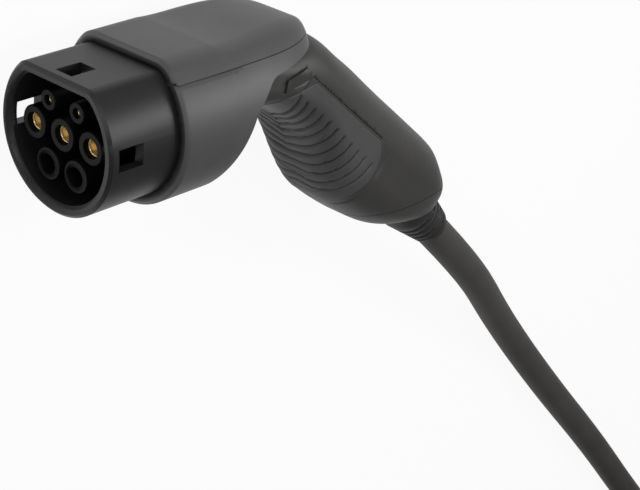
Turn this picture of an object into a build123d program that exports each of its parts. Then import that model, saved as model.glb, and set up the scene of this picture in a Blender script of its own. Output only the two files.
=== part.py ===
"""Charging plug on its lead: a shrouded seven-pole mating face on an angled pistol grip.

The plug lies on its side. X runs from the mating face back along the barrel, Y points to
the flat top of the barrel, and Z points up from the floor. The origin is the centre of the
earth contact, in the plane of the shroud's rim. All sizes are in millimetres.
"""
from math import cos, pi, radians, sin, sqrt, tan
import os

from build123d import *

os.makedirs("parts", exist_ok=True)

# ---- Mating face: standard pole pattern ----
POLE_PITCH = 16.0          # earth contact to each outer contact of the middle row
SIGNAL_ROW_Y = 11.6        # height of the two signal poles over the middle row
SIGNAL_Z = 8.1             # signal poles, each side of the middle
SPARE_ROW_Y = -14.4        # the two unused power poles under the middle row
SPARE_Z = 7.9
POWER_PIN_R = 3.0
SIGNAL_PIN_R = 1.5
PIN_CLEARANCE = 0.05       # contact bore over the pin that goes in
POWER_SLEEVE_WALL = 0.95
SIGNAL_SLEEVE_WALL = 0.55
POWER_TOWER_R = 6.75
SIGNAL_TOWER_R = 4.35
TOWER_FRONT = 3.5          # tower faces, behind the rim plane
SLEEVE_SETBACK = 5.0       # contact mouths, behind the tower faces
PIN_HOLE_DEPTH = 25.0

# ---- Shroud ----
SHROUD_R = 31.5
SHROUD_FLAT = 24.9         # height of its flat top over the earth contact
SHROUD_WALL = 4.5
SHROUD_CORNER = 6.0
RIM_CHAMFER = 1.2
LIP_DEPTH = 2.0            # step just inside the rim
LIP_STEP = 1.2
WINDOW_WIDTH = 9.0         # lock windows through the shroud wall
WINDOW_FROM = 4.0
WINDOW_LENGTH = 12.0
WELL_DEPTH = 30.0          # rim plane to the floor between the towers

# ---- Barrel housing and its cover ----
HOUSING_FRONT = 34.0
BARREL_R = 36.0
BARREL_FLAT = 28.8
BARREL_CORNER = 12.0
FRONT_BEVEL = 1.5
SEAM_Y = 21.3              # underside of the cover
SEAM_GAP = 0.3             # parting lines between the shells
BARREL_BOTTOM_END = 60.0   # where the underside turns up behind the barrel
BARREL_END = 121.0         # rear tip of the cover
CHAMBER_R = 21.0           # wiring chamber behind the contacts
CHAMBER_LENGTH = 20.0

# the barrel's sections as it rounds off: distance before its tip, share of its radius,
# the middle's rise and the flat's drop as shares of the barrel's radius, share of its corner
TAIL_SECTIONS = [
    (BARREL_END - BARREL_BOTTOM_END, 1, 0, 0, 1),
    (31, 17 / 18, 1.5 / 36, 0, 1),
    (17, 5 / 6, 4 / 36, 0.4 / 36, 11 / 12),
    (7, 47 / 72, 7.5 / 36, 2.4 / 36, 3 / 4),
    (0, 13 / 36, 12.5 / 36, 6.3 / 36, 1 / 2),
]

# ---- Grip ----
GRIP_ANGLE = 40.0          # grip axis below the barrel axis
# distance along the grip, inner edge and back edge off its axis line, half width
GRIP_STATIONS = [
    (48, 46, 67, 21.0),
    (62, 47, 77, 25.0),
    (76, 50, 87, 26.0),
    (90, 53, 93.5, 26.0),
    (110, 53, 94, 25.5),
    (128, 47.5, 94, 25.0),
    (148, 42.5, 94, 24.5),
    (166, 42.5, 94, 24.0),
    (184, 44.5, 94, 23.0),
    (202, 50, 93.5, 21.5),
    (216, 58, 90, 18.5),
    (225, 64, 84, 14.0),
]
GRIP_ROUNDNESS = 0.8       # corner radius of a grip section over its smaller half side
CAP_Y = -78.0              # parting plane between the grip and its end cap
PAD_THICKNESS = 3.0
PAD_EDGE = 76.3            # upper edge of the soft pad, off the grip's axis line
PAD_FROM = 84.0
PAD_TO = 156.0
PAD_CORNER = 11.0
RIB_COUNT = 12
RIB_PITCH = 6.9            # along the grip
RIB_FIRST = 88.0
RIB_TILT = 50.0            # rib planes against a straight cut across the grip
GROOVE_WIDTH = 1.0
GROOVE_DEPTH = 1.1
RIB_EDGE = 68.0            # the ribs stop here, below the pad's upper edge
TILE_CORNERS = [(95, -0.5), (97, 6), (109, 9.5), (111.5, 4.5)]
TILE_RISE = 0.7            # small tile on each flank, over the grip's surface
TILE_DEPTH = 1.2

# ---- Lead ----
CABLE_D = 17.0
CABLE_ANGLE = 42.0         # lead axis below the barrel axis
EXIT_X = 213.0             # where the lead's axis leaves the end cap
EXIT_Y = -91.0
TUNNEL_R = 11.0
LEAD_INSIDE = 35.0         # lead end inside the grip, from the exit
BOOT_R = 13.8
BOOT_TIP_R = 9.7
BOOT_SEAT = 14.0           # length of the boot inside the end cap
BOOT_LENGTH = 27.0
BOOT_CLEARANCE = 0.1
SLOT_ROWS = 4
SLOT_PITCH = 5.2
SLOT_FIRST = 5.5
SLOT_WIDTH = 1.7
SLOT_BRIDGE = 5.0
WIRE_R = 2.2
PILOT_WIRE_R = 1.1
WIRE_OFFSET = 4.5          # conductors off the lead's axis
SEAL_LENGTH = 6.0
CLAMP_LENGTH = 12.0
FIT_GAP = 0.1              # general clearance between housed pieces

CABLE_R = CABLE_D / 2
FLOOR_Z = -BARREL_R        # the barrel's flank rests on the floor
RUN_Z = FLOOR_Z + CABLE_R  # lead axis where it lies on the floor

# Route of the lead's axis past the end cap: chosen points, on the floor from the third on.
ROUTE = [
    (265.0, -137.8, 0.0),
    (337.0, -210.0, -24.0),
    (397.0, -276.0, RUN_Z),
    (459.0, -342.0, RUN_Z),
    (510.5, -401.5, RUN_Z),
]
COIL_TURN_R = 93.5         # middle of the three turns that lie side by side
COIL_X, COIL_Y = 524.0, -580.0
COIL_ENTRY = 42.0          # direction from the coil's middle to the lead's entry
TAIL_ANGLE = 130.0         # where the lead's free end leaves the top layer
TAIL_STRIP = 42.0
FERRULE_LENGTH = 12.0


# ---- Shared outlines ----
def d_section(plane, radius, flat, corner, middle=0.0):
    """Round outline with one flat towards +Y and soft corners beside it."""
    with BuildSketch(plane) as outline:
        with Locations((middle, 0)):
            Circle(radius)
        with Locations((flat + radius, 0)):
            Rectangle(2 * radius, 4 * radius, mode=Mode.SUBTRACT)
        fillet(outline.vertices(), corner)
    return outline.sketch


def grip_plane(distance):
    """Plane across the grip; its first axis points to the back edge, its second along Z."""
    along = Vector(cos(radians(GRIP_ANGLE)), -sin(radians(GRIP_ANGLE)), 0)
    across = Vector(sin(radians(GRIP_ANGLE)), cos(radians(GRIP_ANGLE)), 0)
    return Plane(origin=along * distance, x_dir=across, z_dir=along)


def grip_side_plane(height=0.0):
    """Plane of the grip's side view; its axes run along the grip and to the back edge."""
    along = Vector(cos(radians(GRIP_ANGLE)), -sin(radians(GRIP_ANGLE)), 0)
    return Plane(origin=(0, 0, height), x_dir=along, z_dir=(0, 0, 1))


def grip_form(inset):
    """The grip's outer form, or one that lies inset below its surface."""
    with BuildPart() as form:
        for distance, inner, back, half_width in GRIP_STATIONS:
            width = back - inner - 2 * inset
            height = 2 * (half_width - inset)
            with BuildSketch(grip_plane(distance)):
                with Locations(((inner + back) / 2, 0)):
                    RectangleRounded(width, height, GRIP_ROUNDNESS * min(width, height) / 2)
        loft()
    return form.part


def lead_plane(distance):
    """Plane across the lead's straight stretch, at a distance past the end cap's exit."""
    along = Vector(cos(radians(CABLE_ANGLE)), -sin(radians(CABLE_ANGLE)), 0)
    across = Vector(sin(radians(CABLE_ANGLE)), cos(radians(CABLE_ANGLE)), 0)
    return Plane(origin=Vector(EXIT_X, EXIT_Y, 0) + along * distance, x_dir=across, z_dir=along)


def lead_cylinder(start, end, radius):
    """A plain cylinder on the lead's axis, for the part that is open."""
    with BuildSketch(lead_plane(start)) as disc:
        Circle(radius)
    extrude(disc.sketch, amount=end - start)


def corner_radii(points):
    """Largest even arc at each corner of a route: 0.45 of the shorter run over tan(half turn)."""
    radii = []
    for before, corner, after in zip(points, points[1:], points[2:]):
        into = Vector(*corner) - Vector(*before)
        out = Vector(*after) - Vector(*corner)
        half_turn = radians(into.get_angle(out)) / 2
        radii.append(0.45 * min(into.length, out.length) / tan(half_turn))
    return radii


def tube(points, radius, radii):
    """Round tube along straight runs joined by tangent arcs."""
    with BuildPart() as pipe:
        with BuildLine() as path:
            FilletPolyline(*points, radius=radii)
        with BuildSketch(Plane(origin=path.line @ 0, z_dir=path.line % 0)):
            Circle(radius)
        sweep()
    return pipe.part


# ---- Pole table ----
POWER_POLES = {
    "line": (0.0, -POLE_PITCH),
    "earth": (0.0, 0.0),
    "neutral": (0.0, POLE_PITCH),
}
SPARE_POLES = [(SPARE_ROW_Y, -SPARE_Z), (SPARE_ROW_Y, SPARE_Z)]
SIGNAL_POLES = {
    "pilot": (SIGNAL_ROW_Y, -SIGNAL_Z),
    "proximity": (SIGNAL_ROW_Y, SIGNAL_Z),
}
power_bore_r = POWER_PIN_R + PIN_CLEARANCE
signal_bore_r = SIGNAL_PIN_R + PIN_CLEARANCE
power_sleeve_r = power_bore_r + POWER_SLEEVE_WALL
signal_sleeve_r = signal_bore_r + SIGNAL_SLEEVE_WALL
mouth_x = TOWER_FRONT + SLEEVE_SETBACK
carrier_base = 6.0
plate_thickness = 5.0
plate_front = WELL_DEPTH + carrier_base
plate_back = plate_front + plate_thickness
pocket_depth = plate_back - HOUSING_FRONT  # how far the shroud and its plates go in
collar = 1.3
collar_length = 2.0
tail_end = plate_back + 6.0

# ---- Front shroud: the black collar that the inlet's skirt slides over ----
shroud_inner_r = SHROUD_R - SHROUD_WALL
shroud_inner_flat = SHROUD_FLAT - SHROUD_WALL
with BuildPart() as front_shroud:
    extrude(
        d_section(Plane.YZ, SHROUD_R, SHROUD_FLAT, SHROUD_CORNER),
        amount=plate_back,
    )
    chamfer(front_shroud.faces().sort_by(Axis.X)[0].edges(), RIM_CHAMFER)
    extrude(
        d_section(Plane.YZ, shroud_inner_r, shroud_inner_flat, SHROUD_CORNER),
        amount=plate_back, mode=Mode.SUBTRACT,
    )
    extrude(
        d_section(Plane.YZ, shroud_inner_r + LIP_STEP, shroud_inner_flat + LIP_STEP, SHROUD_CORNER),
        amount=LIP_DEPTH, mode=Mode.SUBTRACT,
    )
    # one lock window in the flat top, and one in each flank
    with BuildSketch(Plane.XZ.offset(-SHROUD_FLAT - 1)):
        with Locations((WINDOW_FROM + WINDOW_LENGTH / 2, 0)):
            Rectangle(WINDOW_LENGTH, WINDOW_WIDTH)
    extrude(amount=SHROUD_WALL + 2, mode=Mode.SUBTRACT)
    with BuildSketch(Plane.XY.offset(-SHROUD_R - 1)):
        with Locations((WINDOW_FROM + WINDOW_LENGTH / 2, 0)):
            Rectangle(WINDOW_LENGTH, WINDOW_WIDTH)
    extrude(amount=2 * SHROUD_R + 2, mode=Mode.SUBTRACT)

# ---- Contact carrier: one moulding with a tower round each pole ----
with BuildPart() as contact_carrier:
    extrude(
        d_section(
            Plane.YZ.offset(WELL_DEPTH),
            shroud_inner_r - FIT_GAP,
            shroud_inner_flat - FIT_GAP,
            SHROUD_CORNER,
        ),
        amount=carrier_base,
    )
    with BuildSketch(Plane.YZ.offset(TOWER_FRONT)):
        with Locations(*POWER_POLES.values(), *SPARE_POLES):
            Circle(POWER_TOWER_R)
        with Locations(*SIGNAL_POLES.values()):
            Circle(SIGNAL_TOWER_R)
    extrude(amount=WELL_DEPTH - TOWER_FRONT)
    chamfer(
        contact_carrier.faces().filter_by(Axis.X).group_by(Axis.X)[0].edges(), 0.5
    )
    with BuildSketch(Plane.YZ):
        with Locations(*POWER_POLES.values()):
            Circle(power_sleeve_r + PIN_CLEARANCE)
        with Locations(*SIGNAL_POLES.values()):
            Circle(signal_sleeve_r + PIN_CLEARANCE)
    extrude(amount=plate_back, mode=Mode.SUBTRACT)
    with BuildSketch(Plane.YZ):
        with Locations(*SPARE_POLES):
            Circle(power_sleeve_r + PIN_CLEARANCE)
    extrude(amount=WELL_DEPTH, mode=Mode.SUBTRACT)

# ---- Back plate: holds the contacts' collars against the carrier ----
screw_r = 1.5
screw_head_r = 2.8
screw_head = 2.0
screw_depth = 3.0
SCREW_PLACES = SPARE_POLES
with BuildPart() as contact_plate:
    extrude(
        d_section(
            Plane.YZ.offset(plate_front),
            shroud_inner_r - FIT_GAP,
            shroud_inner_flat - FIT_GAP,
            SHROUD_CORNER,
        ),
        amount=plate_thickness,
    )
    with BuildSketch(Plane.YZ.offset(plate_front)):
        with Locations(*POWER_POLES.values()):
            Circle(power_sleeve_r + collar + PIN_CLEARANCE)
        with Locations(*SIGNAL_POLES.values()):
            Circle(signal_sleeve_r + collar + PIN_CLEARANCE)
    extrude(amount=collar_length, mode=Mode.SUBTRACT)
    with BuildSketch(Plane.YZ.offset(plate_front)):
        with Locations(*POWER_POLES.values()):
            Circle(power_sleeve_r + PIN_CLEARANCE)
        with Locations(*SIGNAL_POLES.values()):
            Circle(signal_sleeve_r + PIN_CLEARANCE)
        with Locations(*SCREW_PLACES):
            Circle(screw_r + PIN_CLEARANCE)
    extrude(amount=plate_thickness, mode=Mode.SUBTRACT)

with BuildPart() as drilled_carrier:
    add(contact_carrier.part)
    with BuildSketch(Plane.YZ.offset(plate_front - screw_depth)):
        with Locations(*SCREW_PLACES):
            Circle(screw_r + PIN_CLEARANCE)
    extrude(amount=screw_depth, mode=Mode.SUBTRACT)

with BuildPart() as plate_screws:
    with BuildSketch(Plane.YZ.offset(plate_front - screw_depth)):
        with Locations(*SCREW_PLACES):
            Circle(screw_r)
    extrude(amount=screw_depth + plate_thickness)
    with BuildSketch(Plane.YZ.offset(plate_back)):
        with Locations(*SCREW_PLACES):
            Circle(screw_head_r)
    extrude(amount=screw_head)

# ---- Well gasket: flat rubber ring on the floor of the well ----
gasket_width = 2.2
gasket_thickness = 1.5
with BuildPart() as well_gasket:
    extrude(
        d_section(
            Plane.YZ.offset(WELL_DEPTH - gasket_thickness),
            shroud_inner_r - FIT_GAP,
            shroud_inner_flat - FIT_GAP,
            SHROUD_CORNER,
        ),
        amount=gasket_thickness,
    )
    extrude(
        d_section(
            Plane.YZ.offset(WELL_DEPTH - gasket_thickness),
            shroud_inner_r - gasket_width,
            shroud_inner_flat - gasket_width,
            SHROUD_CORNER,
        ),
        amount=gasket_thickness, mode=Mode.SUBTRACT,
    )
    with BuildSketch(Plane.YZ.offset(WELL_DEPTH - gasket_thickness)):
        with Locations(*POWER_POLES.values(), *SPARE_POLES):
            Circle(POWER_TOWER_R + FIT_GAP)
        with Locations(*SIGNAL_POLES.values()):
            Circle(SIGNAL_TOWER_R + FIT_GAP)
    extrude(amount=gasket_thickness, mode=Mode.SUBTRACT)


# ---- Contacts: turned brass sleeves with a collar and a solid tail ----
def contact(place, bore_r, sleeve_r, mouth):
    """One contact sleeve, its mouth at the front and its tail behind the plate."""
    with BuildPart() as sleeve:
        with BuildSketch(Plane.YZ.offset(mouth)):
            with Locations(place):
                Circle(sleeve_r)
        extrude(amount=tail_end - mouth)
        with BuildSketch(Plane.YZ.offset(plate_front)):
            with Locations(place):
                Circle(sleeve_r + collar)
        extrude(amount=collar_length)
        with BuildSketch(Plane.YZ.offset(mouth)):
            with Locations(place):
                Circle(bore_r)
        extrude(amount=PIN_HOLE_DEPTH, mode=Mode.SUBTRACT)
    return sleeve.part


contacts = {}
for pole, place in POWER_POLES.items():
    contacts[pole] = contact(place, power_bore_r, power_sleeve_r, mouth_x)
for pole, place in SIGNAL_POLES.items():
    contacts[pole] = contact(place, signal_bore_r, signal_sleeve_r, mouth_x)

# ---- Coding resistor: from the proximity contact's tail to the earth contact's tail ----
resistor_r = 1.1
lead_r = 0.4
resistor_x = plate_back + 3.0
earth_to_proximity = Vector(0, SIGNAL_ROW_Y, SIGNAL_Z)
span = earth_to_proximity.length - power_sleeve_r - signal_sleeve_r
resistor_start = Vector(resistor_x, 0, 0) + earth_to_proximity.normalized() * power_sleeve_r
with BuildPart() as coding_resistor:
    with BuildSketch(Plane(origin=resistor_start, z_dir=earth_to_proximity)):
        Circle(lead_r)
    extrude(amount=span)
    with BuildSketch(
        Plane(
            origin=resistor_start + earth_to_proximity.normalized() * (span / 5),
            z_dir=earth_to_proximity,
        )
    ):
        Circle(resistor_r)
    extrude(amount=span * 3 / 5)

# ---- Hollows inside the housing: chamber, elbow duct, lead tunnel ----
elbow_t = -150.0
elbow_at = lead_plane(elbow_t).origin
duct_r = 8.0
duct_from = Vector(plate_back + 0.55 * CHAMBER_LENGTH, 6, 0)
lead_start = -LEAD_INSIDE
with BuildPart() as hollow:
    with BuildSketch(Plane.YZ.offset(plate_back)):
        Circle(CHAMBER_R)
    extrude(amount=CHAMBER_LENGTH)
    with BuildSketch(Plane(origin=duct_from, z_dir=elbow_at - duct_from)):
        Circle(duct_r)
    extrude(amount=(elbow_at - duct_from).length)
    with Locations(elbow_at):
        Sphere(duct_r)
    lead_cylinder(elbow_t, -BOOT_SEAT, duct_r)
    lead_cylinder(lead_start - 6, -BOOT_SEAT, TUNNEL_R)
    lead_cylinder(-BOOT_SEAT, BOOT_LENGTH, BOOT_R + BOOT_CLEARANCE)

# ---- Barrel: a prism with a flat top, rounded off behind and cut up to the grip ----
with BuildPart() as barrel_form:
    extrude(
        d_section(Plane.YZ.offset(HOUSING_FRONT), BARREL_R, BARREL_FLAT, BARREL_CORNER),
        amount=BARREL_BOTTOM_END - HOUSING_FRONT,
    )
    chamfer(barrel_form.faces().sort_by(Axis.X)[0].edges(), FRONT_BEVEL)
    tail_outlines = [
        d_section(
            Plane.YZ.offset(BARREL_END - before_tip),
            BARREL_R * radius_share,
            BARREL_FLAT - BARREL_R * flat_drop,
            BARREL_CORNER * corner_share,
            BARREL_R * middle_share,
        )
        for before_tip, radius_share, middle_share, flat_drop, corner_share in TAIL_SECTIONS
    ]
    loft(tail_outlines)

# side outline behind the barrel: the underside turns up, then runs back under the cover
with BuildPart() as barrel_cut:
    with BuildSketch(Plane.XY.offset(-2 * BARREL_R)) as cut_outline:
        with BuildLine():
            Polyline(
                (BARREL_BOTTOM_END - 1, -2 * BARREL_R),
                (BARREL_BOTTOM_END, -BARREL_R + 8),
                (BARREL_BOTTOM_END + 12, 2),
                (BARREL_BOTTOM_END + 23, 14),
                (BARREL_END - 9, SEAM_Y - 4.5),
                (BARREL_END + 20, SEAM_Y - 3),
                (BARREL_END + 20, -2 * BARREL_R),
                close=True,
            )
        make_face()
        fillet(cut_outline.vertices().sort_by(Axis.X)[1:4], 9)
    extrude(amount=4 * BARREL_R)

grip_outer = grip_form(0)
grip_under_pad = grip_form(PAD_THICKNESS)
grip_groove_floor = grip_form(GROOVE_DEPTH)

with BuildPart() as barrel_solid:
    add(barrel_form.part)
    add(barrel_cut.part, mode=Mode.SUBTRACT)
    extrude(
        d_section(Plane.YZ.offset(HOUSING_FRONT), SHROUD_R + FIT_GAP, SHROUD_FLAT + FIT_GAP, SHROUD_CORNER),
        amount=pocket_depth, mode=Mode.SUBTRACT,
    )
    add(hollow.part, mode=Mode.SUBTRACT)

with BuildPart() as top_cover:
    add(barrel_solid.part)
    with BuildSketch(Plane.XZ.offset(-SEAM_Y)):
        with Locations((BARREL_END / 2, 0)):
            Rectangle(2 * BARREL_END, 4 * BARREL_R)
    extrude(amount=3 * BARREL_R, mode=Mode.SUBTRACT)
    add(grip_outer, mode=Mode.SUBTRACT)

with BuildPart() as barrel_housing:
    add(barrel_solid.part)
    with BuildSketch(Plane.XZ.offset(-SEAM_Y + SEAM_GAP)):
        with Locations((BARREL_END / 2, 0)):
            Rectangle(2 * BARREL_END, 4 * BARREL_R)
    extrude(amount=-2 * BARREL_R, mode=Mode.SUBTRACT)
    add(grip_outer, mode=Mode.SUBTRACT)

# ---- Soft pad: let into the grip's inner side and both flanks, with cut ribs ----
pad_low = min(inner for _, inner, _, _ in GRIP_STATIONS) - 10
with BuildPart() as pad_region:
    with BuildSketch(grip_side_plane(-BARREL_R)) as pad_outline:
        with Locations(((PAD_FROM + PAD_TO) / 2, (PAD_EDGE + pad_low) / 2)):
            Rectangle(PAD_TO - PAD_FROM, PAD_EDGE - pad_low)
        fillet(pad_outline.vertices().group_by(Axis.Y)[-1].sort_by(Axis.X)[-1], PAD_CORNER)
    extrude(amount=2 * BARREL_R)

with BuildPart() as groove_slabs:
    for rib in range(RIB_COUNT):
        with BuildSketch(grip_side_plane(-BARREL_R)):
            with Locations(Location((RIB_FIRST + rib * RIB_PITCH, RIB_EDGE, 0), (0, 0, RIB_TILT))):
                Rectangle(
                    GROOVE_WIDTH, 3 * (RIB_EDGE - pad_low), align=(Align.CENTER, Align.MAX)
                )
    extrude(amount=2 * BARREL_R)

with BuildPart() as grip_pad:
    add(grip_outer)
    add(pad_region.part, mode=Mode.INTERSECT)
    add(grip_under_pad, mode=Mode.SUBTRACT)
    add(barrel_solid.part, mode=Mode.SUBTRACT)

with BuildPart() as ribs_cut:
    add(groove_slabs.part)
    add(grip_groove_floor, mode=Mode.SUBTRACT)

with BuildPart() as ribbed_pad:
    add(grip_pad.part)
    add(ribs_cut.part, mode=Mode.SUBTRACT)


# ---- Grip housing, with a raised tile on each flank, and the cap that closes its end ----
with BuildPart() as grip_solid:
    add(grip_outer)
    add(grip_pad.part, mode=Mode.SUBTRACT)
    add(hollow.part, mode=Mode.SUBTRACT)

with BuildPart() as tile_prism:
    with BuildSketch(Plane.XY.offset(-BARREL_R)):
        with BuildLine():
            Polyline(*TILE_CORNERS, close=True)
        make_face()
    extrude(amount=2 * BARREL_R)

with BuildPart() as tile_blank:
    add(grip_form(-TILE_RISE))
    add(grip_form(TILE_DEPTH), mode=Mode.SUBTRACT)
    add(tile_prism.part, mode=Mode.INTERSECT)

with BuildPart() as grip_housing:
    add(grip_solid.part)
    with BuildSketch(Plane.XZ.offset(-CAP_Y)):
        with Locations((EXIT_X, 0)):
            Rectangle(4 * BARREL_R, 4 * BARREL_R)
    extrude(amount=2 * BARREL_R, mode=Mode.SUBTRACT)
    add(tile_blank.part, mode=Mode.SUBTRACT)

with BuildPart() as end_cap:
    add(grip_solid.part)
    with BuildSketch(Plane.XZ.offset(-CAP_Y + SEAM_GAP)):
        with Locations((EXIT_X - 2 * BARREL_R, 0)):
            Rectangle(10 * BARREL_R, 4 * BARREL_R)
    extrude(amount=-6 * BARREL_R, mode=Mode.SUBTRACT)

# ---- Strain relief: tapered rubber boot with rows of slots ----
with BuildPart() as strain_relief:
    with BuildSketch(lead_plane(-BOOT_SEAT)):
        Circle(BOOT_R)
    extrude(amount=BOOT_SEAT)
    with BuildSketch(lead_plane(0)):
        Circle(BOOT_R)
    with BuildSketch(lead_plane(BOOT_LENGTH)):
        Circle(BOOT_TIP_R)
    loft()
    fillet(strain_relief.edges().filter_by(GeomType.CIRCLE).sort_by(Axis.X)[-1], 0.8)
    for row in range(SLOT_ROWS):
        with BuildSketch(lead_plane(SLOT_FIRST + row * SLOT_PITCH)):
            Circle(2 * BOOT_R)
            Circle(CABLE_R + 0.6, mode=Mode.SUBTRACT)
            Rectangle(
                SLOT_BRIDGE,
                5 * BOOT_R,
                rotation=90 * (row % 2),
                mode=Mode.SUBTRACT,
            )
        extrude(amount=SLOT_WIDTH, mode=Mode.SUBTRACT)
    lead_bore = CABLE_R + 0.05
    with BuildSketch(lead_plane(-BOOT_SEAT)):
        Circle(lead_bore)
    extrude(amount=BOOT_SEAT + BOOT_LENGTH, mode=Mode.SUBTRACT)

# ---- Gland seal and split clamp round the lead, in the tunnel ----
seal_start = -BOOT_SEAT - SEAL_LENGTH
with BuildPart() as gland_seal:
    with BuildSketch(lead_plane(seal_start)):
        Circle(TUNNEL_R - FIT_GAP)
        Circle(lead_bore, mode=Mode.SUBTRACT)
    extrude(amount=SEAL_LENGTH)

clamp_start = seal_start - CLAMP_LENGTH
split = 0.6
with BuildPart() as lead_clamp:
    with BuildSketch(lead_plane(clamp_start)):
        Circle(TUNNEL_R - FIT_GAP)
        Circle(lead_bore, mode=Mode.SUBTRACT)
        Rectangle(3 * TUNNEL_R, split, mode=Mode.SUBTRACT)
    extrude(amount=CLAMP_LENGTH)

# ---- Conductors inside the housing ----
lead_face = lead_plane(lead_start)
turn = lead_plane(elbow_t)


def inner_wire(place, radius, sideways, upwards):
    """A conductor from a contact's tail to its place in the lead's end face."""
    y, z = place
    start = Vector(tail_end, y, z)
    straight = start + Vector(5, 0, 0)
    at_duct = Plane(origin=duct_from + Vector(8, 1, 0), x_dir=(0, 1, 0), z_dir=(1, 0, 0))
    middle = at_duct.from_local_coords((upwards, sideways))
    bend = turn.from_local_coords((upwards, sideways))
    end = lead_face.from_local_coords((upwards, sideways))
    points = [start, straight, middle, bend, end]
    radii = [1.5 * radius, 1.5 * radius, 2.5 * WIRE_R]
    return tube([tuple(p) for p in points], radius, radii)


wires = {
    "line_wire": inner_wire(POWER_POLES["line"], WIRE_R, -WIRE_OFFSET, 0),
    "neutral_wire": inner_wire(POWER_POLES["neutral"], WIRE_R, WIRE_OFFSET, 0),
    "earth_wire": inner_wire(POWER_POLES["earth"], WIRE_R, 0, -WIRE_OFFSET),
    "pilot_wire": inner_wire(SIGNAL_POLES["pilot"], PILOT_WIRE_R, 0, WIRE_OFFSET),
}

# ---- Lead: the stretch that is laid out, and the coil that holds the rest ----
coil_inner = COIL_TURN_R - 1.5 * CABLE_D
coil_outer = COIL_TURN_R + 1.5 * CABLE_D
entry_out = Vector(cos(radians(COIL_ENTRY)), sin(radians(COIL_ENTRY)), 0)
entry_way = Vector(sin(radians(COIL_ENTRY)), -cos(radians(COIL_ENTRY)), 0)
entry_side_r = coil_outer - CABLE_D
short_of_entry = sqrt(coil_outer**2 - entry_side_r**2) + FIT_GAP
stop = (
    Vector(COIL_X, COIL_Y, RUN_Z)
    + entry_out * (COIL_TURN_R + CABLE_D)
    - entry_way * short_of_entry
)
route = [tuple(lead_plane(lead_start).origin)] + ROUTE + [tuple(stop)]
route_radii = corner_radii(route)
print("lead corner radii", [round(r, 1) for r in route_radii])
cable = tube(route, CABLE_R, route_radii)

with BuildPart() as coil_ring:
    with BuildSketch(Plane.XZ) as coil_outline:
        with BuildLine():
            Polyline(
                (coil_inner, FLOOR_Z),
                (coil_outer, FLOOR_Z),
                (coil_outer, FLOOR_Z + 2 * CABLE_D),
                (coil_outer - CABLE_D, FLOOR_Z + 2 * CABLE_D),
                (coil_outer - CABLE_D, FLOOR_Z + 3 * CABLE_D),
                (coil_inner, FLOOR_Z + 3 * CABLE_D),
                close=True,
            )
        make_face()
        fillet(coil_outline.vertices().sort_by(Axis.Y)[:2], CABLE_R / 2)
    revolve(axis=Axis.Z)
cable_coil = coil_ring.part.moved(Location((COIL_X, COIL_Y, 0)))

# ---- Free end: stripped conductors with crimped ferrules, off the coil's top layer ----
tail_way = Vector(sin(radians(TAIL_ANGLE)), -cos(radians(TAIL_ANGLE)), 0)
tail_out = Vector(cos(radians(TAIL_ANGLE)), sin(radians(TAIL_ANGLE)), 0)
tail_face = (
    Vector(COIL_X, COIL_Y, FLOOR_Z + 2 * CABLE_D + CABLE_R)
    + tail_out * (COIL_TURN_R + CABLE_D)
)
TAIL_WIRES = {
    "line_tail": (-WIRE_OFFSET, 0, WIRE_R),
    "neutral_tail": (WIRE_OFFSET, 0, WIRE_R),
    "earth_tail": (0, -WIRE_OFFSET, WIRE_R),
    "pilot_tail": (0, WIRE_OFFSET, PILOT_WIRE_R),
}
tail_plane = Plane(origin=tail_face, x_dir=tail_out, z_dir=tail_way)
jacket_end = 20.0
with BuildPart() as cable_end:
    with BuildSketch(tail_plane.offset(-jacket_end)):
        Circle(CABLE_R)
    extrude(amount=jacket_end)

tails = {}
for tail, (across, up, radius) in TAIL_WIRES.items():
    with BuildPart() as stripped:
        with BuildSketch(tail_plane):
            with Locations((across, up)):
                Circle(radius)
        extrude(amount=TAIL_STRIP)
    tails[tail] = stripped.part

with BuildPart() as ferrules:
    for across, up, radius in TAIL_WIRES.values():
        with BuildSketch(tail_plane.offset(TAIL_STRIP)):
            with Locations((across, up)):
                Circle(0.6 * radius)
        extrude(amount=FERRULE_LENGTH)

# ---- Write every piece ----
pieces = {
    "front_shroud": front_shroud.part,
    "contact_carrier": drilled_carrier.part,
    "contact_plate": contact_plate.part,
    "plate_screws": plate_screws.part,
    "well_gasket": well_gasket.part,
    "coding_resistor": coding_resistor.part,
    "top_cover": top_cover.part,
    "barrel_housing": barrel_housing.part,
    "grip_housing": grip_housing.part,
    "grip_pad": ribbed_pad.part,
    "grip_tiles": tile_blank.part,
    "end_cap": end_cap.part,
    "strain_relief": strain_relief.part,
    "gland_seal": gland_seal.part,
    "lead_clamp": lead_clamp.part,
    "cable": cable,
    "cable_coil": cable_coil,
    "cable_end": cable_end.part,
    "ferrules": ferrules.part,
    **{f"{pole}_contact": sleeve for pole, sleeve in contacts.items()},
    **wires,
    **tails,
}
for name, piece in pieces.items():
    piece.label = name
    export_step(piece, f"parts/{name}.step")

section = pi * CABLE_R**2
print("lead length in the tube", round(cable.volume / section, 1))
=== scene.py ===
"""Charging plug on its lead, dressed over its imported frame: camera and lead first, then the
shells from the grip forward, the mating face, the loose inner pieces, and the studio."""
from math import cos, exp, pi, radians, sin

import bmesh
import bpy
from mathutils import Matrix, Vector
from mathutils.bvhtree import BVHTree


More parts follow.
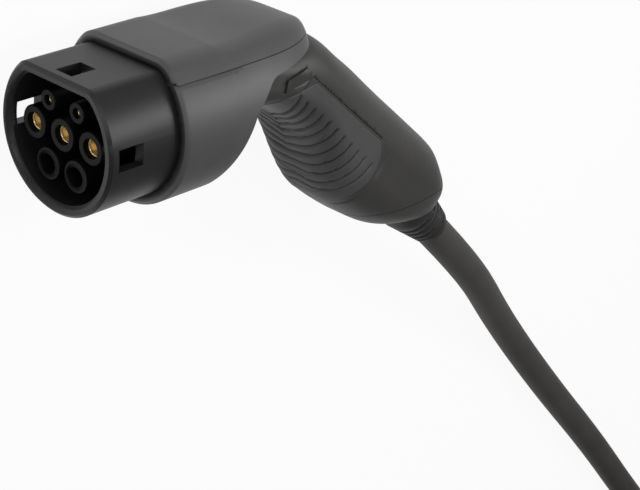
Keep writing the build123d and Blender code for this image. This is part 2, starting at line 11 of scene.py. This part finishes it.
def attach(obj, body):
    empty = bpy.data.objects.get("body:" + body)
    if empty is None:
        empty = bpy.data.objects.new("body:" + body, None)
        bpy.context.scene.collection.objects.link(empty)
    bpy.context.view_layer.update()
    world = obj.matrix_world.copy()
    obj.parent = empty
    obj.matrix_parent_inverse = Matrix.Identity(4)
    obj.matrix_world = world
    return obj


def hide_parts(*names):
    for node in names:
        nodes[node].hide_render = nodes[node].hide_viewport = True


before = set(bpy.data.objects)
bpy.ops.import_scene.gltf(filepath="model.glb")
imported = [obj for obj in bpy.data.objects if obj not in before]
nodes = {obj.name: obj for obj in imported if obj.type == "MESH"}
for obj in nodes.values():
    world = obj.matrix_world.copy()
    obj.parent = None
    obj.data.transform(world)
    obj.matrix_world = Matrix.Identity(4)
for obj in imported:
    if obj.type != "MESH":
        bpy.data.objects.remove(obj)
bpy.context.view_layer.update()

# ---- Camera ----
# A long lens from the front, over the flat top and above the flank that faces up.
# The plug lies on its side, so the camera is turned until the flat top is uppermost.
camera_yaw = radians(40.88)
camera_pitch = radians(26.69)
camera_roll = radians(4.35)
camera_place = Vector((-0.417463, 0.285567, 0.495469))
camera_lens = 105.91
camera_sensor = 36
camera_near = 0.01

back = Vector((
    -cos(camera_yaw) * cos(camera_pitch), sin(camera_pitch), sin(camera_yaw) * cos(camera_pitch)
))
right = Vector((0, 1, 0)).cross(back).normalized()
above = back.cross(right)
turned_right = cos(camera_roll) * right + sin(camera_roll) * above
turned_above = cos(camera_roll) * above - sin(camera_roll) * right
camera = bpy.data.objects.new("camera", bpy.data.cameras.new("camera"))
camera.data.lens = camera_lens
camera.data.sensor_width = camera_sensor
camera.data.clip_start = camera_near
camera.matrix_world = Matrix.Translation(camera_place) @ Matrix(
    (turned_right, turned_above, back)
).transposed().to_4x4()
bpy.context.scene.collection.objects.link(camera)
bpy.context.scene.camera = camera


# ---- Lead ----
# A heavy rubber-jacketed lead, extruded in one length: it leaves the boot, comes down to the
# floor and runs off, and what isn't in use is wound in a neat round coil with its end on top.
def grain_group():
    """Fine moulded or extruded grain: a varying colour, roughness and normal."""
    cloud_scale = 45
    cloud_range = (0.3, 0.7)
    roughness_share = 0.16
    bump_height = 0.0001
    group = bpy.data.node_groups.new("fine_grain", "ShaderNodeTree")
    for name, kind, value in (
        ("Colour", "NodeSocketColor", (0.05, 0.05, 0.05, 1)),
        ("Variation", "NodeSocketFloat", 0.1),
        ("Grain size", "NodeSocketFloat", 2500.0),
        ("Grain depth", "NodeSocketFloat", 0.1),
        ("Roughness", "NodeSocketFloat", 0.5),
    ):
        socket = group.interface.new_socket(name, in_out="INPUT", socket_type=kind)
        socket.default_value = value
    for name, kind in (
        ("Colour", "NodeSocketColor"),
        ("Roughness", "NodeSocketFloat"),
        ("Normal", "NodeSocketVector"),
    ):
        group.interface.new_socket(name, in_out="OUTPUT", socket_type=kind)
    made = group.nodes
    links = group.links
    given = made.new("NodeGroupInput")
    out = made.new("NodeGroupOutput")
    place = made.new("ShaderNodeTexCoord")
    cloud = made.new("ShaderNodeTexNoise")
    cloud.inputs["Scale"].default_value = cloud_scale
    cloud.inputs["Detail"].default_value = 3
    links.new(place.outputs["Object"], cloud.inputs["Vector"])
    grain = made.new("ShaderNodeTexNoise")
    grain.inputs["Detail"].default_value = 2
    links.new(place.outputs["Object"], grain.inputs["Vector"])
    links.new(given.outputs["Grain size"], grain.inputs["Scale"])
    # colour: darker and lighter clouds, as far from the given colour as the variation says
    span = made.new("ShaderNodeMapRange")
    span.inputs["From Min"].default_value = cloud_range[0]
    span.inputs["From Max"].default_value = cloud_range[1]
    links.new(cloud.outputs["Fac"], span.inputs["Value"])
    for operation, limit in (("SUBTRACT", "To Min"), ("ADD", "To Max")):
        end = made.new("ShaderNodeMath")
        end.operation = operation
        end.inputs[0].default_value = 1
        links.new(given.outputs["Variation"], end.inputs[1])
        links.new(end.outputs[0], span.inputs[limit])
    shade = made.new("ShaderNodeVectorMath")
    shade.operation = "SCALE"
    links.new(given.outputs["Colour"], shade.inputs[0])
    links.new(span.outputs["Result"], shade.inputs["Scale"])
    links.new(shade.outputs["Vector"], out.inputs["Colour"])
    # roughness follows the grain a little
    rough = made.new("ShaderNodeMath")
    rough.operation = "MULTIPLY_ADD"
    rough.inputs[1].default_value = roughness_share
    links.new(grain.outputs["Fac"], rough.inputs[0])
    links.new(given.outputs["Roughness"], rough.inputs[2])
    links.new(rough.outputs[0], out.inputs["Roughness"])
    # the normal follows it as a shallow bump
    bump = made.new("ShaderNodeBump")
    bump.inputs["Distance"].default_value = bump_height
    links.new(given.outputs["Grain depth"], bump.inputs["Strength"])
    links.new(grain.outputs["Fac"], bump.inputs["Height"])
    links.new(bump.outputs["Normal"], out.inputs["Normal"])
    return group


fine_grain = grain_group()


def moulded(name, colour, roughness, variation=0.08, grain=2500.0, depth=0.12, specular=0.5):
    """A moulded material: the grain group drives colour, roughness and normal."""
    material = bpy.data.materials.new(name)
    material.use_nodes = True
    tree = material.node_tree
    shader = tree.nodes["Principled BSDF"]
    shader.inputs["Specular IOR Level"].default_value = specular
    effect = tree.nodes.new("ShaderNodeGroup")
    effect.node_tree = fine_grain
    effect.inputs["Colour"].default_value = (*colour, 1)
    effect.inputs["Variation"].default_value = variation
    effect.inputs["Grain size"].default_value = grain
    effect.inputs["Grain depth"].default_value = depth
    effect.inputs["Roughness"].default_value = roughness
    tree.links.new(effect.outputs["Colour"], shader.inputs["Base Color"])
    tree.links.new(effect.outputs["Roughness"], shader.inputs["Roughness"])
    tree.links.new(effect.outputs["Normal"], shader.inputs["Normal"])
    return material


lead_diameter = 0.017
lead_angle = radians(42)
lead_exit = Vector((0.213, -0.091, 0.0))
lead_way = Vector((cos(lead_angle), -sin(lead_angle), 0))
lead_inside = 0.028
floor_z = -0.036
lead_z = floor_z + lead_diameter / 2
coil_middle = Vector((0.524, -0.580, 0))
coil_turn_r = 0.0935
coil_entry = radians(42)
coil_approach = 0.0614
tail_angle = radians(130)
tail_straight = 0.012
points_per_turn = 20
jacket_colour = (0.066, 0.063, 0.059)

# from inside the boot down to the floor, and on to the outside of the coil
route = [
    lead_exit - lead_inside * lead_way,
    Vector((0.2650, -0.1378, 0.0)),
    Vector((0.3370, -0.2100, -0.0240)),
    Vector((0.3970, -0.2760, lead_z)),
    Vector((0.4590, -0.3420, lead_z)),
    Vector((0.5105, -0.4015, lead_z)),
]
entry_way = Vector((sin(coil_entry), -cos(coil_entry), 0))
entry_out = Vector((cos(coil_entry), sin(coil_entry), 0))
at_entry = coil_middle + (coil_turn_r + lead_diameter) * entry_out
route.append(Vector((at_entry.x, at_entry.y, lead_z)) - coil_approach * entry_way)

# each turn's place: its ring, 0 for the middle one, and its layer
turns = [(1, 0), (0, 0), (-1, 0), (-1, 1), (0, 1), (1, 1), (-1, 2), (0, 2), (1, 2)]
whole_turns = 7
last_turn = (coil_entry - tail_angle + 2 * pi) / (2 * pi)
turn_count = whole_turns + last_turn
# the share of a turn in which the lead moves over to the next place, and what stays straight
# at the end of the last one
move_over = 0.25
settled = 0.04
angle_step = 2 * pi / points_per_turn
# a smooth curve through the points runs a little inside them, so they lie further out
rounding = (3 + cos(angle_step)) / 4
for index in range(int(turn_count * points_per_turn) + 1):
    along = index / points_per_turn
    turn = min(int(along), len(turns) - 2)
    moved = max(0.0, (along - turn - (1 - move_over)) / move_over)
    if turn == whole_turns:
        moved = min(1.0, max(0.0, (along - turn - last_turn + move_over) / (move_over - settled)))
    moved = moved * moved * (3 - 2 * moved)
    ring = turns[turn][0] * (1 - moved) + turns[turn + 1][0] * moved
    layer = turns[turn][1] * (1 - moved) + turns[turn + 1][1] * moved
    radius = (coil_turn_r + ring * lead_diameter) / rounding
    angle = coil_entry - along * 2 * pi
    route.append(Vector((
        coil_middle.x + radius * cos(angle),
        coil_middle.y + radius * sin(angle),
        lead_z + layer * lead_diameter,
    )))
tail_way = Vector((sin(tail_angle), -cos(tail_angle), 0))
tail_out = Vector((cos(tail_angle), sin(tail_angle), 0))
tail_face = coil_middle + (coil_turn_r + lead_diameter) * tail_out
tail_face.z = lead_z + 2 * lead_diameter
route = route[:-1] + [tail_face - tail_straight * tail_way, tail_face]

lead_curve = bpy.data.curves.new("lead", "CURVE")
lead_curve.dimensions = "3D"
lead_curve.resolution_u = 8
lead_curve.bevel_depth = lead_diameter / 2
lead_curve.bevel_resolution = 7
lead_curve.use_fill_caps = True
spline = lead_curve.splines.new("NURBS")
spline.points.add(len(route) - 1)
for point, place in zip(spline.points, route):
    point.co = (*place, 1)
spline.order_u = 3
spline.use_endpoint_u = True
lead = bpy.data.objects.new("lead", lead_curve)
bpy.context.scene.collection.objects.link(lead)
lead.data.materials.append(
    moulded(
        "lead_jacket", jacket_colour, roughness=0.60, variation=0.10, grain=1400, depth=0.18,
        specular=0.3,
    )
)
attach(lead, "root")
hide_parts("cable", "cable_coil", "cable_end")


# ---- Grip lines ----
# The grip is waisted under the barrel, where the first finger goes, and its butt is drawn in
# behind the lead. Every piece that belongs to the grip follows these lines.
grip_angle = radians(40)
along_grip = Vector((cos(grip_angle), -sin(grip_angle), 0))
across_grip = Vector((sin(grip_angle), cos(grip_angle), 0))
upward = Vector((0, 0, 1))
pad_edge = 0.0763
inner_depth = 0.024
back_depth = 0.018
waist_depth = 0.0060
waist_begins = (0.060, 0.080)
waist_fades = (0.104, 0.152)
shoulder_height = 0.0022
shoulder_middle = 0.078
shoulder_width = 0.007
flat_depth = 0.0013
flat_middle = 0.100
flat_width = 0.012
butt_depth = 0.0030
butt_begins = (0.200, 0.216)


def eased(value, start, end):
    """A smooth step from 0 at the start to 1 at the end."""
    part = min(1.0, max(0.0, (value - start) / (end - start)))
    return part * part * (3 - 2 * part)


def on_grip(place):
    """A place on the grip, moved to the grip's finished lines."""
    distance = place.dot(along_grip)
    height = place.dot(across_grip) - pad_edge
    if height < 0:
        waist = waist_depth * eased(distance, *waist_begins) * (1 - eased(distance, *waist_fades))
        return place - across_grip * waist * height / inner_depth
    shoulder = shoulder_height * exp(-(((distance - shoulder_middle) / shoulder_width) ** 2))
    flat = flat_depth * exp(-(((distance - flat_middle) / flat_width) ** 2))
    butt = butt_depth * eased(distance, *butt_begins)
    return place + across_grip * (shoulder - flat - butt) * height / back_depth


# ---- Shell pieces ----
# Every shell keeps the form that it was moulded to. A merged copy stands for the frame's
# loose facets, so that its curved skin shades as one surface and its edges stay crisp.
def skin(node, material, name, moved=None):
    """A merged, smooth-shaded copy of a node, with its own material."""
    merge_within = 2e-6
    shortest_edge = 1e-6
    crease = radians(28)
    mesh = bpy.data.meshes.new(name)
    form = bmesh.new()
    form.from_mesh(nodes[node].data)
    bmesh.ops.remove_doubles(form, verts=form.verts, dist=merge_within)
    bmesh.ops.dissolve_degenerate(form, edges=form.edges, dist=shortest_edge)
    if moved:
        for corner in form.verts:
            corner.co = moved(corner.co)
    form.to_mesh(mesh)
    form.free()
    for face in mesh.polygons:
        face.use_smooth = True
    mesh.set_sharp_from_angle(angle=crease)
    mesh.materials.clear()
    mesh.materials.append(material)
    piece = bpy.data.objects.new(name, mesh)
    bpy.context.scene.collection.objects.link(piece)
    even = piece.modifiers.new("even_normals", "WEIGHTED_NORMAL")
    even.keep_sharp = True
    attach(piece, "root")
    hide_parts(node)
    return piece


# ---- Strain relief ----
# A tapered boot of soft black rubber, slotted so that it bends with the lead. It comes out
# of the end cap, and like the stripped conductors it belongs to the lead.
boot_colour = (0.022, 0.021, 0.021)
boot_rubber = moulded(
    "boot_rubber", boot_colour, roughness=0.50, grain=1800, depth=0.1, specular=0.35
)
boot = skin("strain_relief", boot_rubber, "boot")

# ---- End cap ----
# A ring cap in the grip's own plastic. It closes the grip's butt round the boot, and it
# follows the grip's lines.
grip_colour = (0.036, 0.0345, 0.033)
grip_plastic = moulded("grip_plastic", grip_colour, roughness=0.44, grain=2600, depth=0.14)
skin("end_cap", grip_plastic, "butt_cap", moved=on_grip)

# ---- Grip shell ----
# A glass-filled nylon moulding with a fine spark-eroded grain, dark and warm. It carries the
# soft pad and the tiles, and meets the barrel at its upper end.
skin("grip_housing", grip_plastic, "grip_shell", moved=on_grip)

# ---- Grip tiles ----
# A small raised tile on each flank, at the upper end of the soft pad, smoother and slightly
# darker than the shell that it sits on.
tile_colour = (0.030, 0.029, 0.028)
tile_plastic = moulded("tile_plastic", tile_colour, roughness=0.30, grain=2600, depth=0.05)
skin("grip_tiles", tile_plastic, "flank_tiles", moved=on_grip)

# ---- Soft pad ----
# Thermoplastic rubber moulded over the grip's inner side and both flanks, matt and a little
# proud. Eleven narrow grooves run round it for the fingers, and they rake towards the lead.
pad_reach = 0.026
pad_top = 0.072
pad_top_level = 0.053
pad_top_slope = 0.69
pad_end = 0.155
pad_end_level = 0.064
pad_end_rise = 0.009
pad_end_outer = 0.0123
pad_end_inner = 0.021
pad_wrap = radians(88)
pad_lift = 0.0003
groove_count = 11
flank_first = 0.0820
flank_pitch = 0.0068
inner_first = 0.1040
inner_pitch = 0.0038
groove_half_width = 0.0008
groove_depth = 0.0013
hollow_half_width = 0.003
hollow_depth = 0.0002
groove_end = radians(66)
groove_fade = 0.06
wall_start = 0.083
wall_end = 0.157
wall_wrap = radians(91)
wall_lift = 0.00002
seat_wrap = radians(85)
seat_margin = 0.0015
seat_depth = 0.0025
border_dip = 0.001
cast_from = 0.06
filled_steps = 5
turns_round = 150
steps_along = 220

grip_faces = bmesh.new()
grip_faces.from_mesh(nodes["grip_housing"].data)
grip_faces.from_mesh(nodes["grip_pad"].data)
bmesh.ops.remove_doubles(grip_faces, verts=grip_faces.verts, dist=2e-6)
grip_tree = BVHTree.FromBMesh(grip_faces)
grip_faces.free()


def grip_radius(distance, angle):
    """How far the grip's skin lies from the pad's edge line, round from the inner side."""
    way = across_grip * -cos(angle) + upward * sin(angle)
    middle = along_grip * distance + across_grip * pad_edge
    hit = grip_tree.ray_cast(middle + way * cast_from, -way)[0]
    return (hit - middle).length


def closed_over(row, reach):
    """A row of radii with its narrow grooves filled, and its slopes kept."""
    wide = [max(row[max(0, i - reach):i + reach + 1]) for i in range(len(row))]
    return [min(wide[max(0, i - reach):i + reach + 1]) for i in range(len(row))]


def wrap(name, start, end, widest, lift, depth_at, material):
    """A skin round the grip's inner side, between two edges, whose border dips into the shell."""
    places = []
    depths = []
    for turn in range(turns_round + 1):
        angle = widest * (2 * turn / turns_round - 1)
        level = pad_edge - pad_reach * cos(angle)
        first = start(level)
        last = end(level)
        rows = [first + (last - first) * i / steps_along for i in range(steps_along + 1)]
        radii = closed_over([grip_radius(distance, angle) for distance in rows], filled_steps)
        way = across_grip * -cos(angle) + upward * sin(angle)
        for i, (distance, radius) in enumerate(zip(rows, radii)):
            on_border = turn in (0, turns_round) or i in (0, steps_along)
            height = radius - border_dip if on_border else radius + lift - depth_at(distance, angle)
            place = along_grip * distance + across_grip * pad_edge + way * height
            places.append(on_grip(place))
            # the share of the groove depth at each point, kept as the mask for the painted shade in
            # the pad's grooves
            depths.append(min(1.0, depth_at(distance, angle) / groove_depth))
    width = steps_along + 1
    faces = [
        (a, a + 1, a + width + 1, a + width)
        for turn in range(turns_round)
        for a in range(turn * width, turn * width + steps_along)
    ]
    mesh = bpy.data.meshes.new(name)
    mesh.from_pydata(places, [], faces)
    mesh.attributes.new("groove", "FLOAT", "POINT").data.foreach_set("value", depths)
    mesh.materials.append(material)
    for face in mesh.polygons:
        face.use_smooth = True
    piece = bpy.data.objects.new(name, mesh)
    bpy.context.scene.collection.objects.link(piece)
    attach(piece, "root")
    return piece


def groove_at(distance, angle):
    """Depth of the finger grooves, each in a shallow hollow, at a place on the pad."""
    if abs(angle) > groove_end:
        return 0.0
    depth = 0.0
    for groove in range(groove_count):
        on_flank = flank_first + groove * flank_pitch
        on_inner = inner_first + groove * inner_pitch
        line = on_inner + (on_flank - on_inner) * abs(angle) / groove_end
        off = abs(distance - line)
        cut = groove_depth * max(0.0, 1 - (off / groove_half_width) ** 2)
        hollow = hollow_depth * max(0.0, 1 - off / hollow_half_width)
        depth = max(depth, cut + hollow)
    return depth * min(1.0, (groove_end - abs(angle)) / groove_fade)


def pad_upper(level):
    """Where the pad starts along the grip: a straight edge, raked across the flank."""
    return pad_top + pad_top_slope * (level - pad_top_level)


def pad_lower(level):
    """Where the pad ends along the grip: an edge that bulges towards the butt."""
    half = pad_end_outer if level > pad_end_level else pad_end_inner
    return pad_end - pad_end_rise * ((level - pad_end_level) / half) ** 2


def seat_at(distance, angle):
    """Depth of the seat that the shell leaves under the pad."""
    level = pad_edge - pad_reach * cos(angle)
    inside = pad_upper(level) + seat_margin < distance < pad_lower(level) - seat_margin
    return seat_depth if inside and abs(angle) < seat_wrap else 0.0


wrap(
    "grip_wall", lambda level: wall_start, lambda level: wall_end, wall_wrap, wall_lift,
    seat_at, grip_plastic,
)
pad_colour = (0.062, 0.060, 0.062)
pad_rubber = moulded("pad_rubber", pad_colour, roughness=0.50, grain=3200, depth=0.2)
# painted shade: the base colour is darkened on the grooves' floors, where little light reaches them
groove_shade_tone = 0.08
pad_tree = pad_rubber.node_tree
groove_shade_mask = pad_tree.nodes.new("ShaderNodeAttribute")
groove_shade_mask.attribute_name = "groove"
darker = pad_tree.nodes.new("ShaderNodeMapRange")
darker.inputs["From Min"].default_value = 0.35
darker.inputs["From Max"].default_value = 0.85
darker.inputs["To Min"].default_value = 1.0
darker.inputs["To Max"].default_value = groove_shade_tone
shaded = pad_tree.nodes.new("ShaderNodeVectorMath")
shaded.operation = "SCALE"
pad_tree.links.new(groove_shade_mask.outputs["Fac"], darker.inputs["Value"])
pad_tree.links.new(pad_tree.nodes["Group"].outputs["Colour"], shaded.inputs[0])
pad_tree.links.new(darker.outputs["Result"], shaded.inputs["Scale"])
pad_tree.links.new(
    shaded.outputs["Vector"], pad_tree.nodes["Principled BSDF"].inputs["Base Color"]
)
pad = wrap(
    "ribbed_pad", pad_upper, pad_lower, pad_wrap, pad_lift, groove_at, pad_rubber
)
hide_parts("grip_pad")

# ---- Barrel shells ----
# The barrel's lower shell and its flat-topped cover, moulded in one dark grey plastic. The
# cover closes the shell along its flat top.
shell_colour = (0.075, 0.074, 0.074)
shell_plastic = moulded("shell_plastic", shell_colour, roughness=0.42, grain=2600, depth=0.14)
skin("barrel_housing", shell_plastic, "barrel_shell")
skin("top_cover", shell_plastic, "flat_cover")

# ---- Front shroud ----
# A hard black collar with a bright, crisp rim and windows for the inlet's lock. It is seated
# in the pocket at the barrel's front.
shroud_colour = (0.011, 0.011, 0.012)
shroud_plastic = moulded(
    "shroud_plastic", shroud_colour, roughness=0.36, grain=2200, depth=0.08, specular=0.4
)
skin("front_shroud", shroud_plastic, "front_collar")

# ---- Contact carrier ----
# One black moulding with a tower round each pole. Its colour is darker than the plastic's own,
# a painted shade that keeps the well behind the towers black. The plate behind it holds the
# contacts' collars against it.
carrier_black_and_shade = (0.003, 0.003, 0.003)
carrier_plastic = moulded(
    "carrier_plastic", carrier_black_and_shade, roughness=0.40, grain=2200, depth=0.06, specular=0.12
)
skin("contact_carrier", carrier_plastic, "pole_towers")

# ---- Well gasket ----
# A flat ring of black rubber on the floor of the well, round the towers. It seals the plug
# against the inlet.
gasket_colour = (0.02, 0.02, 0.02)
gasket_rubber = moulded("gasket_rubber", gasket_colour, roughness=0.6)
skin("well_gasket", gasket_rubber, "floor_gasket")


# ---- Contacts ----
# Turned brass sleeves with a thin bright plating that shows fine turning marks. Each is held
# in its tower, with its mouth a little behind the tower's face.
def brass():
    """Plated brass, whose turning marks vary its tone and its roughness."""
    marks_scale = (6000, 200, 200)
    dull_tone = (0.62, 0.42, 0.17, 1)
    bright_tone = (0.88, 0.70, 0.40, 1)
    material = bpy.data.materials.new("plated_brass")
    material.use_nodes = True
    tree = material.node_tree
    shader = tree.nodes["Principled BSDF"]
    shader.inputs["Metallic"].default_value = 1.0
    place = tree.nodes.new("ShaderNodeTexCoord")
    stretch = tree.nodes.new("ShaderNodeMapping")
    stretch.inputs["Scale"].default_value = marks_scale
    marks = tree.nodes.new("ShaderNodeTexNoise")
    marks.inputs["Scale"].default_value = 1.0
    tone = tree.nodes.new("ShaderNodeValToRGB")
    tone.color_ramp.elements[0].color = dull_tone
    tone.color_ramp.elements[1].color = bright_tone
    rough = tree.nodes.new("ShaderNodeMapRange")
    rough.inputs["To Min"].default_value = 0.18
    rough.inputs["To Max"].default_value = 0.38
    tree.links.new(place.outputs["Object"], stretch.inputs["Vector"])
    tree.links.new(stretch.outputs["Vector"], marks.inputs["Vector"])
    tree.links.new(marks.outputs["Fac"], tone.inputs["Fac"])
    tree.links.new(tone.outputs["Color"], shader.inputs["Base Color"])
    tree.links.new(marks.outputs["Fac"], rough.inputs["Value"])
    tree.links.new(rough.outputs["Result"], shader.inputs["Roughness"])
    return material


contact_brass = brass()
power_bore = 0.00305
power_wall = 0.00095
signal_bore = 0.00155
signal_wall = 0.00055
power_pitch = 0.016
signal_row = 0.0116
signal_side = 0.0081


def sleeve(pole, row, side, bore, wall):
    """One turned sleeve: a rounded mouth, a deep bore and a plain outside."""
    mouth = 0.0057
    bore_depth = 0.0278
    back_end = 0.0470
    lip = 0.0003
    sides = 48
    crease = radians(50)
    outline = [
        (back_end, 0.0), (back_end, bore + wall), (mouth + lip, bore + wall),
        (mouth, bore + wall - lip), (mouth, bore + lip), (mouth + lip, bore),
        (mouth + bore_depth, bore), (mouth + bore_depth + bore / 2, 0.0),
    ]
    form = bmesh.new()
    rings = [
        [
            form.verts.new((
                x, row + r * cos(2 * pi * turn / sides), side + r * sin(2 * pi * turn / sides)
            ))
            for turn in range(sides)
        ]
        for x, r in outline
    ]
    for near, far in zip(rings, rings[1:]):
        for turn in range(sides):
            after = (turn + 1) % sides
            form.faces.new((near[turn], far[turn], far[after], near[after]))
    bmesh.ops.remove_doubles(form, verts=form.verts, dist=1e-6)
    bmesh.ops.recalc_face_normals(form, faces=form.faces)
    mesh = bpy.data.meshes.new(f"{pole}_sleeve")
    form.to_mesh(mesh)
    form.free()
    for face in mesh.polygons:
        face.use_smooth = True
    mesh.set_sharp_from_angle(angle=crease)
    mesh.materials.append(contact_brass)
    piece = bpy.data.objects.new(f"{pole}_sleeve", mesh)
    bpy.context.scene.collection.objects.link(piece)
    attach(piece, "root")
    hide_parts(f"{pole}_contact")


for pole, row, side, bore, wall in (
    ("line", 0.0, -power_pitch, power_bore, power_wall),
    ("earth", 0.0, 0.0, power_bore, power_wall),
    ("neutral", 0.0, power_pitch, power_bore, power_wall),
    ("pilot", signal_row, -signal_side, signal_bore, signal_wall),
    ("proximity", signal_row, signal_side, signal_bore, signal_wall),
):
    sleeve(pole, row, side, bore, wall)


# ---- Inner pieces and bare conductors ----
# Pieces that the shells hide, and the stripped conductors at the free end, in plain finishes.
# Each conductor has one colour of insulation from its contact to the free end.
def coat(name, material):
    """Gives a frame node one material in place of its own."""
    nodes[name].data.materials.clear()
    nodes[name].data.materials.append(material)


finishes = {
    name: moulded(f"{name}_finish", colour, roughness)
    for name, colour, roughness in (
        ("contact_plate", (0.02, 0.02, 0.02), 0.5),
        ("gland_seal", (0.02, 0.02, 0.02), 0.6),
        ("lead_clamp", (0.03, 0.03, 0.03), 0.5),
        ("coding_resistor", (0.55, 0.45, 0.28), 0.35),
        ("line_wire", (0.13, 0.05, 0.02), 0.35),
        ("neutral_wire", (0.02, 0.07, 0.30), 0.35),
        ("earth_wire", (0.12, 0.30, 0.03), 0.35),
        ("pilot_wire", (0.60, 0.60, 0.57), 0.35),
    )
}
for name, finish in finishes.items():
    coat(name, finish)
for tail in ("line", "neutral", "earth", "pilot"):
    coat(f"{tail}_tail", finishes[f"{tail}_wire"])

# ---- Screws and ferrules ----
# Steel plate screws and the conductors' crimped ferrules, both with a bright zinc plating
# that is a little uneven.
zinc_colour = (0.55, 0.56, 0.58)
zinc = moulded("zinc_plate", zinc_colour, roughness=0.3, variation=0.06, depth=0.05)
zinc.node_tree.nodes["Principled BSDF"].inputs["Metallic"].default_value = 1.0
for name in ("plate_screws", "ferrules"):
    coat(name, zinc)

# ---- Floor ----
# A plain pale floor under the plug, which shows as an even near-white and keeps a soft
# shadow: it glows for what looks at it, and it is matt paint for the light that falls on it.
floor_reach = 8.0
floor_colour = (0.86, 0.86, 0.86, 1)
floor_glow_share = 0.93
floor_mesh = bpy.data.meshes.new("floor")
floor_mesh.from_pydata(
    [
        (-floor_reach, -floor_reach, floor_z),
        (floor_reach, -floor_reach, floor_z),
        (floor_reach, floor_reach, floor_z),
        (-floor_reach, floor_reach, floor_z),
    ],
    [],
    [(0, 1, 2, 3)],
)
floor = bpy.data.objects.new("floor", floor_mesh)
bpy.context.scene.collection.objects.link(floor)
floor_paint = bpy.data.materials.new("floor_paint")
floor_paint.use_nodes = True
floor_tree = floor_paint.node_tree
matt = floor_tree.nodes["Principled BSDF"]
matt.inputs["Base Color"].default_value = floor_colour
matt.inputs["Roughness"].default_value = 0.9
matt.inputs["Specular IOR Level"].default_value = 0.1
glow = floor_tree.nodes.new("ShaderNodeEmission")
glow.inputs["Strength"].default_value = 1.0
floor_rays = floor_tree.nodes.new("ShaderNodeLightPath")
either = floor_tree.nodes.new("ShaderNodeMath")
either.operation = "MAXIMUM"
also = floor_tree.nodes.new("ShaderNodeMath")
also.operation = "MAXIMUM"
share = floor_tree.nodes.new("ShaderNodeMath")
share.operation = "MULTIPLY"
share.inputs[1].default_value = floor_glow_share
mix = floor_tree.nodes.new("ShaderNodeMixShader")
floor_tree.links.new(floor_rays.outputs["Is Camera Ray"], either.inputs[0])
floor_tree.links.new(floor_rays.outputs["Is Glossy Ray"], either.inputs[1])
floor_tree.links.new(either.outputs[0], also.inputs[0])
floor_tree.links.new(floor_rays.outputs["Is Transmission Ray"], also.inputs[1])
floor_tree.links.new(also.outputs[0], share.inputs[0])
floor_tree.links.new(share.outputs[0], mix.inputs["Fac"])
floor_tree.links.new(matt.outputs["BSDF"], mix.inputs[1])
floor_tree.links.new(glow.outputs["Emission"], mix.inputs[2])
floor_tree.links.new(
    mix.outputs["Shader"], floor_tree.nodes["Material Output"].inputs["Surface"]
)
floor_mesh.materials.append(floor_paint)


# ---- Lamps ----
# Two broad softboxes, over the flat top and over the flank that faces up, a fill from the
# camera's side and a strip behind the grip. A dim white room lights the rest.
def softbox(name, place, aim, size, power):
    """A rectangular area lamp at a place, facing an aim."""
    lamp = bpy.data.lights.new(name, "AREA")
    lamp.shape = "RECTANGLE"
    lamp.size, lamp.size_y = size
    lamp.energy = power
    holder = bpy.data.objects.new(name, lamp)
    way = Vector(aim) - Vector(place)
    turned = way.to_track_quat("-Z", "Y").to_matrix().to_4x4()
    holder.matrix_world = Matrix.Translation(place) @ turned
    bpy.context.scene.collection.objects.link(holder)


softbox("top_softbox", place=(0.05, 0.75, 0.45), aim=(0.1, 0.0, 0.0), size=(0.7, 0.5), power=1.5)
softbox(
    "flank_softbox", place=(-0.15, 0.1, 0.9), aim=(0.12, -0.03, 0.0), size=(0.5, 0.5), power=1.2
)
softbox("front_fill", place=(-0.62, 0.30, 0.45), aim=(0.0, 0.0, 0.0), size=(0.3, 0.3), power=1.3)
softbox(
    "rim_strip", place=(0.50, 0.13, 0.53), aim=(0.06, 0.01, 0.035), size=(0.16, 0.30), power=2.0
)

room_light = 0.22
seen_light = 1.0
world = bpy.data.worlds.new("studio")
bpy.context.scene.world = world
world.use_nodes = True
world_tree = world.node_tree
sky = world_tree.nodes["Background"]
sky.inputs["Color"].default_value = (1, 1, 1, 1)
world_rays = world_tree.nodes.new("ShaderNodeLightPath")
strength = world_tree.nodes.new("ShaderNodeMapRange")
strength.inputs["To Min"].default_value = room_light
strength.inputs["To Max"].default_value = seen_light
world_tree.links.new(world_rays.outputs["Is Camera Ray"], strength.inputs["Value"])
world_tree.links.new(strength.outputs["Result"], sky.inputs["Strength"])

bpy.context.scene.view_settings.view_transform = "Standard"
